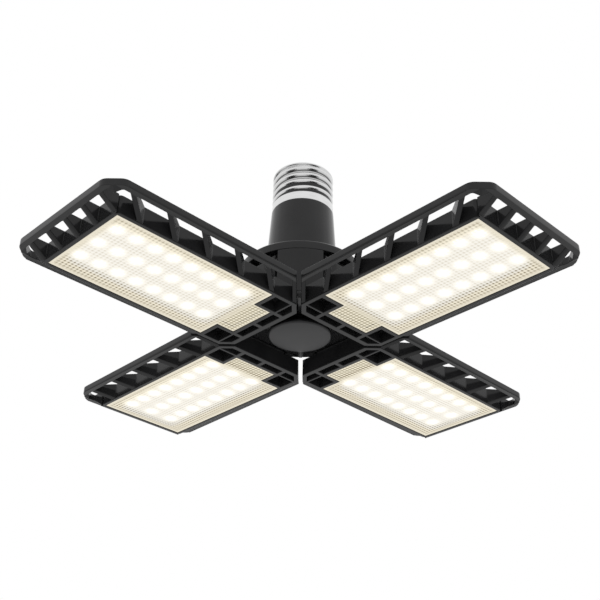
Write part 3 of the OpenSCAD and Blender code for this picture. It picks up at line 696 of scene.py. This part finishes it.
class GARAGELIGHT_OT_lenses(bpy.types.Operator):
    """Builds the four prismatic lenses with the lit layer behind their prisms"""

    bl_idname = "garage_light.lenses"
    bl_label = "Build the lenses"

    TAB_STRIP = 0.75             # how plain the strip round the tab is, where 1 is plain
    SHALLOW = 0.62               # how plain the outer rows of prisms are
    SHALLOW_TO = 2.2 * MM        # these rows end here, counted from the plain edge
    SHALLOW_FADE = 1.6 * MM      # width over which they grow to full prisms
    FIELD_TO = 2.4 * MM          # the field of light is full to here past the outer LEDs
    FIELD_FADE = 3.4 * MM        # width over which it fades to the margin
    HALO, HALO_WIDTH = 0.3, 1.5  # share of a spot's light in its halo, and the halo's width

    def plan(self, settings):
        """Grid lines along and across the lens. They keep to the prisms' quarter pitch,
        and the lens's own outline and its shoulders are lines of the grid too."""
        start, end, half = LENS_LOW[0], LENS_HIGH[0], LENS_HIGH[1]
        shoulder = start + settings.tab_length
        edge, rim, tab = settings.plain_edge, settings.tab_edge, settings.tab_half
        step = settings.prism_pitch / 4

        def lines(low, high, marks):
            """Multiples of the step from low to high, but for those close to a mark, and
            the marks."""
            inner = np.arange(math.ceil(low / step), math.floor(high / step) + 1) * step
            inner = inner[np.min(np.abs(inner[:, None] - np.array(marks)), 1) > step * 0.3]
            return np.unique(np.concatenate([inner, marks]))

        u = lines(start, end, [start, start + rim, shoulder, shoulder + edge, end - edge, end])
        v = lines(-half, half, [-half, edge - half, rim - tab, -tab, tab, tab - rim, half - edge, half])
        return u, v, shoulder

    def strip(self, settings, gu, gv, shoulder):
        """How plain the lens is, from 0 on full prisms to 1 in the strip round its edge, by
        the distance from its outline: the rectangle joined with the tab."""
        end, half = LENS_HIGH[0], LENS_HIGH[1]
        slab = np.minimum.reduce([gu - shoulder, end - gu, half - np.abs(gv)])
        tongue = np.minimum.reduce([gu - LENS_LOW[0], end - gu, settings.tab_half - np.abs(gv)])
        inside = np.maximum(slab, tongue)
        on_slab = slab > -CLOSE
        edge = settings.plain_edge
        grown = np.clip((edge + self.SHALLOW_TO - slab) / self.SHALLOW_FADE, 0, 1)
        return np.maximum.reduce([
            1.0 * (on_slab & (inside < edge + CLOSE)),
            self.TAB_STRIP * (inside < settings.tab_edge + CLOSE),
            self.SHALLOW * grown * on_slab])

    def light(self, settings, gu, gv):
        """The light behind the lens: a field that fades with the distance from the outer
        LEDs by a smooth step, and a bell-shaped spot with a wider halo over each LED."""
        low, high = CHIPS_LOW + CHIP_HALF, CHIPS_HIGH - CHIP_HALF
        led_u = np.linspace(low[0], high[0], settings.led_columns)
        led_v = np.linspace(low[1], high[1], settings.led_rows)
        du = np.maximum(0, np.maximum(led_u[0] - gu, gu - led_u[-1]))
        dv = np.maximum(0, np.maximum(led_v[0] - gv, gv - led_v[-1]))
        away = np.clip((np.hypot(du, dv) - self.FIELD_TO) / self.FIELD_FADE, 0, 1)
        field = 1 - away * away * (3 - 2 * away)
        near = (np.min(np.abs(gu[..., None] - led_u), -1) ** 2
                + np.min(np.abs(gv[..., None] - led_v), -1) ** 2)
        radius = settings.glow_radius
        spot = ((1 - self.HALO) * np.exp(-near / radius ** 2)
                + self.HALO * np.exp(-near / (self.HALO_WIDTH * radius) ** 2))
        return field, spot

    def skin(self, solid):
        """The faces of a plate over the solid cells of a grid: which grid points it uses,
        its lower faces, and its walls and upper faces. The upper points follow the lower."""
        rows, cols = solid.shape
        used = np.zeros((rows + 1, cols + 1), bool)
        for di, dj in ((0, 0), (0, 1), (1, 0), (1, 1)):
            used[di:di + rows, dj:dj + cols] |= solid
        count = int(used.sum())
        index = np.full(used.shape, -1)
        index[used] = np.arange(count)
        quads = np.stack([index[:-1, :-1], index[1:, :-1], index[1:, 1:], index[:-1, 1:]], -1)[solid]
        # a wall stands on each side of a solid cell that has no solid cell beyond it
        padded = np.pad(solid, 1)
        others = []
        for beyond, a, b in (
                (padded[:-2, 1:-1], (0, 0), (0, 1)), (padded[2:, 1:-1], (1, 1), (1, 0)),
                (padded[1:-1, :-2], (1, 0), (0, 0)), (padded[1:-1, 2:], (0, 1), (1, 1))):
            i, j = np.nonzero(solid & ~beyond)
            p, q = index[i + a[0], j + a[1]], index[i + b[0], j + b[1]]
            others += np.stack([p, p + count, q + count, q], -1).tolist()
        return used, quads[:, ::-1].tolist(), others + (quads + count).tolist()

    def execute(self, context):
        settings = context.scene.garage_lens
        u, v, shoulder = self.plan(settings)
        gu, gv = np.meshgrid(u, v, indexing="ij")
        mid_u, mid_v = np.meshgrid((u[1:] + u[:-1]) / 2, (v[1:] + v[:-1]) / 2, indexing="ij")
        used, lower, others = self.skin((mid_u > shoulder) | (np.abs(mid_v) < settings.tab_half))
        strip = self.strip(settings, gu, gv, shoulder)
        field, spot = self.light(settings, gu, gv)
        on_tab = np.clip((shoulder - gu) / MM, 0, 1)

        # outer face: square pyramids, as high as the nearer groove is far
        across = [np.abs((g / settings.prism_pitch + 0.5) % 1 - 0.5) for g in (gu, gv)]
        rise = settings.prism_depth * (1 - 2 * np.minimum(*across))
        outer_z = LENS_LOW[2] + np.where(strip >= self.TAB_STRIP, 0.0, rise)
        inner_z = np.full_like(gu, LENS_HIGH[2])
        points = np.concatenate([np.stack([gu, gv, z], -1)[used] for z in (outer_z, inner_z)])

        plastic, light = lens_surface(settings), glow_surface(settings)
        for k in PANELS:
            lens = mesh_object(f"prismatic_lens_{k}", quarter(points, k), lower + others, smooth=False)
            put(lens, f"panel_{k}", f"lens_{k}", plastic)
            lens.data.materials.append(light)
            kinds = np.ones(len(lower) + len(others), np.int32)
            kinds[:len(lower)] = 0
            lens.data.polygons.foreach_set("material_index", kinds)
            for name, values in (("field", field), ("spot", spot), ("tab", on_tab), ("edge_strip", strip)):
                point_values(lens, name, np.tile(values[used], 2))
            lens.data.update()
        return {"FINISHED"}


class GARAGELIGHT_OT_screw_shell(bpy.types.Operator):
    """Builds the rolled screw shell with its thread, skirt and turned-in top"""

    bl_idname = "garage_light.screw_shell"
    bl_label = "Build the screw shell"

    SIDES, ROWS, INNER_ROWS = 128, 150, 20
    PLAY = 0.06 * MM                 # the shell keeps this far inside the CAD tube
    CURL = 0.9 * MM                  # radius of the rounded top
    FADE_IN, FADE_OUT = 1.2 * MM, 0.8 * MM   # the thread's ends
    DENTS = (0.6, 2.69, 4.79)        # directions of the stake marks, in radians
    DENT_HEIGHT, DENT_DEPTH = 1.5 * MM, 0.35 * MM
    DENT_TALL, DENT_WIDE = 0.6 * MM, 0.8 * MM
    MOUTH, THROAT = 4 * MM, 2.2 * MM         # the turned-in top, counted in from the crest
    INNER = 1.25 * MM                # the inner wall, counted in from the crest and the wall
    STEP = 0.4 * MM                  # slope from the inner wall to the skirt

    def execute(self, context):
        settings = context.scene.garage_shell
        low, high, crest = SHELL_LOW[2], SHELL_HIGH[2], SHELL_HIGH[0]
        wall = settings.wall
        turn = np.linspace(0, 2 * np.pi, self.SIDES, endpoint=False)
        start, top = low + settings.skirt, high - self.CURL
        gz, gt = np.meshgrid(np.linspace(low, top, self.ROWS), turn, indexing="ij")

        # radius = crest - depth/2 (1 - cos(2 pi z/pitch - turn)), faded out at both ends
        phase = 2 * np.pi * (gz - low) / settings.pitch - gt
        fade = np.clip((gz - start) / self.FADE_IN, 0, 1) * np.clip((top - gz) / self.FADE_OUT, 0, 1)
        fade = fade * fade * (3 - 2 * fade)
        radius = crest - self.PLAY - settings.depth * (0.5 - 0.5 * np.cos(phase)) * fade
        radius = np.where(gz < start, crest - self.PLAY, radius)
        # stake marks: three small bell-shaped dents hold the skirt to the neck
        dent = np.exp(-((gz - low - self.DENT_HEIGHT) / self.DENT_TALL) ** 2)
        for at in self.DENTS:
            away = (gt - at + np.pi) % (2 * np.pi) - np.pi
            radius = radius - self.DENT_DEPTH * dent * np.exp(-(away * crest / self.DENT_WIDE) ** 2)

        # the top rounds over in a quarter circle and turns in to the mouth round the
        # insulator, and the plain inner wall leads back down to the skirt
        bend = np.linspace(0, np.pi / 2, 9)[1:]
        inner, skirt = crest - self.INNER - wall, crest - self.PLAY - wall
        more_r = np.concatenate([
            crest - self.PLAY - self.CURL + self.CURL * np.cos(bend),
            [crest - self.MOUTH, crest - self.MOUTH, crest - self.THROAT],
            np.full(self.INNER_ROWS, inner), [skirt, skirt]])
        more_z = np.concatenate([
            top + self.CURL * np.sin(bend), [high, high - wall, high - wall],
            np.linspace(top, start, self.INNER_ROWS), [start - self.STEP, low]])
        radius = np.vstack([radius, np.repeat(more_r[:, None], self.SIDES, 1)])
        height = np.vstack([gz, np.repeat(more_z[:, None], self.SIDES, 1)])
        points = np.stack([radius * np.cos(turn), radius * np.sin(turn), height], -1).reshape(-1, 3)
        shell = mesh_object("threaded_shell", points, grid_faces(len(radius), self.SIDES, True, True))
        # the metal's seat value paints the thread's root dark: painted shade and painted dark reflection
        put(shell, "hub", "screw_shell",
            metal("rolled_nickel", (0.75, 0.75, 0.75, 1), 0.17, 240.0, (1, 1, 9), "seat"))
        # the thread's root is painted dark on one flank: painted shade and a painted dark reflection of
        # the groove, with a little tarnish; the value named seat carries this painted shade
        root, spread = 1.28 * np.pi, 0.55
        seat = np.exp(-((phase - root + np.pi) % (2 * np.pi) - np.pi) ** 2 / spread ** 2) * fade
        point_values(shell, "seat", np.concatenate([seat.ravel(), np.zeros(len(points) - seat.size)]))
        return {"FINISHED"}


class GARAGELIGHT_OT_cap(bpy.types.Operator):
    """Builds the glass insulator and the soldered contact on the screw cap"""

    bl_idname = "garage_light.cap"
    bl_label = "Build the insulator and the contact"

    def insulator(self):
        """A glass bell: r = wide (1 - 0.47 t^2.2) while z climbs as sin(t)^1.1 from its
        shoulder to the top, with a shallow hollow in its middle."""
        low, high, wide = INSULATOR_LOW[2], INSULATOR_HIGH[2], INSULATOR_HIGH[0]
        rise = high - low
        t = np.linspace(0, 1, 16)
        climb = low + rise * (0.3 + 0.7 * np.sin(t * np.pi / 2) ** 1.1)
        bell = np.stack([wide * (1 - 0.47 * t ** 2.2), climb], -1)
        foot = [(0.0, low), (0.86 * wide, low), (0.98 * wide, low + 0.2 * rise)]
        floor = high - 0.12 * rise
        hollow = [(0.48 * wide, high - 0.02 * rise), (0.46 * wide, floor), (0.0, floor)]
        verts, faces = revolve(np.vstack([foot, bell, hollow]), 96)
        return mesh_object("insulator_bell", verts, faces)

    def contact(self):
        """A rolled edge, a shallow dish and the solder drop in its middle: below the top by
        0.22 r^2, with a bell-shaped groove at r = 0.62 and a bevel beyond r = 0.9."""
        low, high, wide = CONTACT_LOW[2], CONTACT_HIGH[2], CONTACT_HIGH[0]
        rise = high - low
        r = np.linspace(0.97, 0.05, 18)
        groove = 0.10 * np.exp(-((r - 0.62) / 0.12) ** 2)
        bevel = 0.12 * (r > 0.9) * (r - 0.9) * 10
        face = np.stack([wide * r, high - rise * (0.22 * r ** 2 + groove + bevel)], -1)
        side = [(0.0, low), (0.22 * wide, low), (0.98 * wide, low + 0.5 * rise),
                (wide, low + 0.55 * rise), (wide, low + 0.66 * rise)]
        verts, faces = revolve(np.vstack([side, face, [(0.0, high)]]), 64)
        return mesh_object("solder_contact", verts, faces)

    def execute(self, context):
        put(self.insulator(), "hub", "cap_insulator",
            coated("insulator_glass", (0.012, 0.012, 0.013, 1), 0.12, bump=0.02, coat=0.6))
        put(self.contact(), "hub", "cap_contact",
            metal("contact_solder", (0.66, 0.65, 0.62, 1), 0.3, 700.0))
        return {"FINISHED"}


class GARAGELIGHT_OT_button(bpy.types.Operator):
    """Builds the centre button, a low dome with a rounded edge on a narrower neck"""

    bl_idname = "garage_light.button"
    bl_label = "Build the centre button"

    DOME, LIP = 0.35 * MM, 0.9 * MM   # height of the dome, and of the rounding at its edge
    FACE = 0.93                       # share of the disc's radius that the dome takes up

    def execute(self, context):
        settings = context.scene.garage_button
        wide, low, high = BUTTON_HIGH[0], BUTTON_LOW[2], BUTTON_HIGH[2]
        back, neck = low + settings.disc_edge, wide - settings.neck
        # z = low + dome (r/R)^3 over the face, then a quarter round up to the disc's side
        face = np.linspace(0.1, self.FACE, 16)
        dome = np.stack([wide * face, low + self.DOME * face ** 3], -1)
        turn = np.linspace(0.15, 1, 8) * np.pi / 2
        start = low + self.DOME * self.FACE ** 3
        lip = np.stack([wide * (self.FACE + (1 - self.FACE) * np.sin(turn)),
                        start + self.LIP * (1 - np.cos(turn))], -1)
        behind = [(wide, back), (wide - 0.15 * MM, back + 0.15 * MM), (neck + 0.3 * MM, back + 0.2 * MM),
                  (neck, back + 0.5 * MM), (neck, high - 0.05 * MM), (neck - 0.05 * MM, high), (0.0, high)]
        verts, faces = revolve(np.vstack([[(0.0, low)], dome, lip, behind]), 128)
        put(mesh_object("button_dome", verts, faces), "hub", "centre_button",
            coated("button_satin", context.scene.garage_blacks.button, 0.3, level=0.3))
        return {"FINISHED"}


class GARAGELIGHT_OT_screws(bpy.types.Operator):
    """Builds the cross-head screws of the hub, the arms and the LED boards"""

    bl_idname = "garage_light.screws"
    bl_label = "Build the screws"

    def execute(self, context):
        recess = context.scene.garage_button.recess
        steel = metal("zinc_steel", (0.55, 0.55, 0.57, 1), 0.32, 1500.0)
        for kind, body, head, thick, shank, on_top in SCREWS:
            on_panel = body == "panel"
            low, high = (np.array(c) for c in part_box(f"{kind}_1" if on_panel else kind))
            seat = high[2] - thick if on_top else low[2] + thick
            reach = seat - low[2] if on_top else high[2] - seat
            verts, faces = cross_screw(head, thick, shank, reach, recess)
            if not on_top:
                verts, faces = verts * (1, 1, -1), [face[::-1] for face in faces]
            # a screw in each corner of the node's box, and one where two corners are the same
            x, y = (np.unique(np.round([low[i] + head, high[i] - head], 5)) for i in (0, 1))
            places = np.stack(np.meshgrid(x, y, seat, indexing="ij"), -1).reshape(-1, 3)
            points, faces = repeated(verts, faces, places)
            for k in PANELS if on_panel else (1,):
                cad_node = f"{kind}_{k}" if on_panel else kind
                screws = mesh_object(f"cross_{cad_node}", quarter(points, k), faces)
                put(screws, f"panel_{k}" if on_panel else "hub", cad_node, steel)
        return {"FINISHED"}


class GARAGELIGHT_PT_panel(bpy.types.Panel):
    """Lists the settings and the steps that build the garage light"""

    bl_idname = "GARAGELIGHT_PT_panel"
    bl_label = "Garage light"
    bl_space_type = "VIEW_3D"
    bl_region_type = "UI"
    bl_category = "Garage light"

    def draw(self, context):
        for group_name, _ in GROUPS:
            group = getattr(context.scene, group_name)
            box = self.layout.box()
            for name in group.bl_rna.properties.keys():
                if name not in {"rna_type", "name"}:
                    box.prop(group, name)
        for step in STEPS:
            self.layout.operator(step.bl_idname)


GROUPS = (
    ("garage_lens", LensSettings), ("garage_blacks", BlackSettings),
    ("garage_roundings", RoundingSettings), ("garage_shell", ShellSettings),
    ("garage_button", ButtonSettings), ("garage_stage", StageSettings),
)
STEPS = (
    GARAGELIGHT_OT_stage, GARAGELIGHT_OT_finishes, GARAGELIGHT_OT_castings,
    GARAGELIGHT_OT_lenses, GARAGELIGHT_OT_screw_shell, GARAGELIGHT_OT_cap,
    GARAGELIGHT_OT_button, GARAGELIGHT_OT_screws,
)


def register():
    """Makes the settings, the steps and the panel known to Blender."""
    for name, group in GROUPS:
        bpy.utils.register_class(group)
        setattr(bpy.types.Scene, name, PointerProperty(type=group))
    for step in STEPS:
        bpy.utils.register_class(step)
    bpy.utils.register_class(GARAGELIGHT_PT_panel)


def unregister():
    """Takes back what register did, in the opposite order."""
    bpy.utils.unregister_class(GARAGELIGHT_PT_panel)
    for step in reversed(STEPS):
        bpy.utils.unregister_class(step)
    for name, group in reversed(GROUPS):
        delattr(bpy.types.Scene, name)
        bpy.utils.unregister_class(group)


def main():
    """Runs every step in order."""
    register()
    for step in STEPS:
        group, name = step.bl_idname.split(".")
        getattr(getattr(bpy.ops, group), name)()


if __name__ == "__main__":
    main()
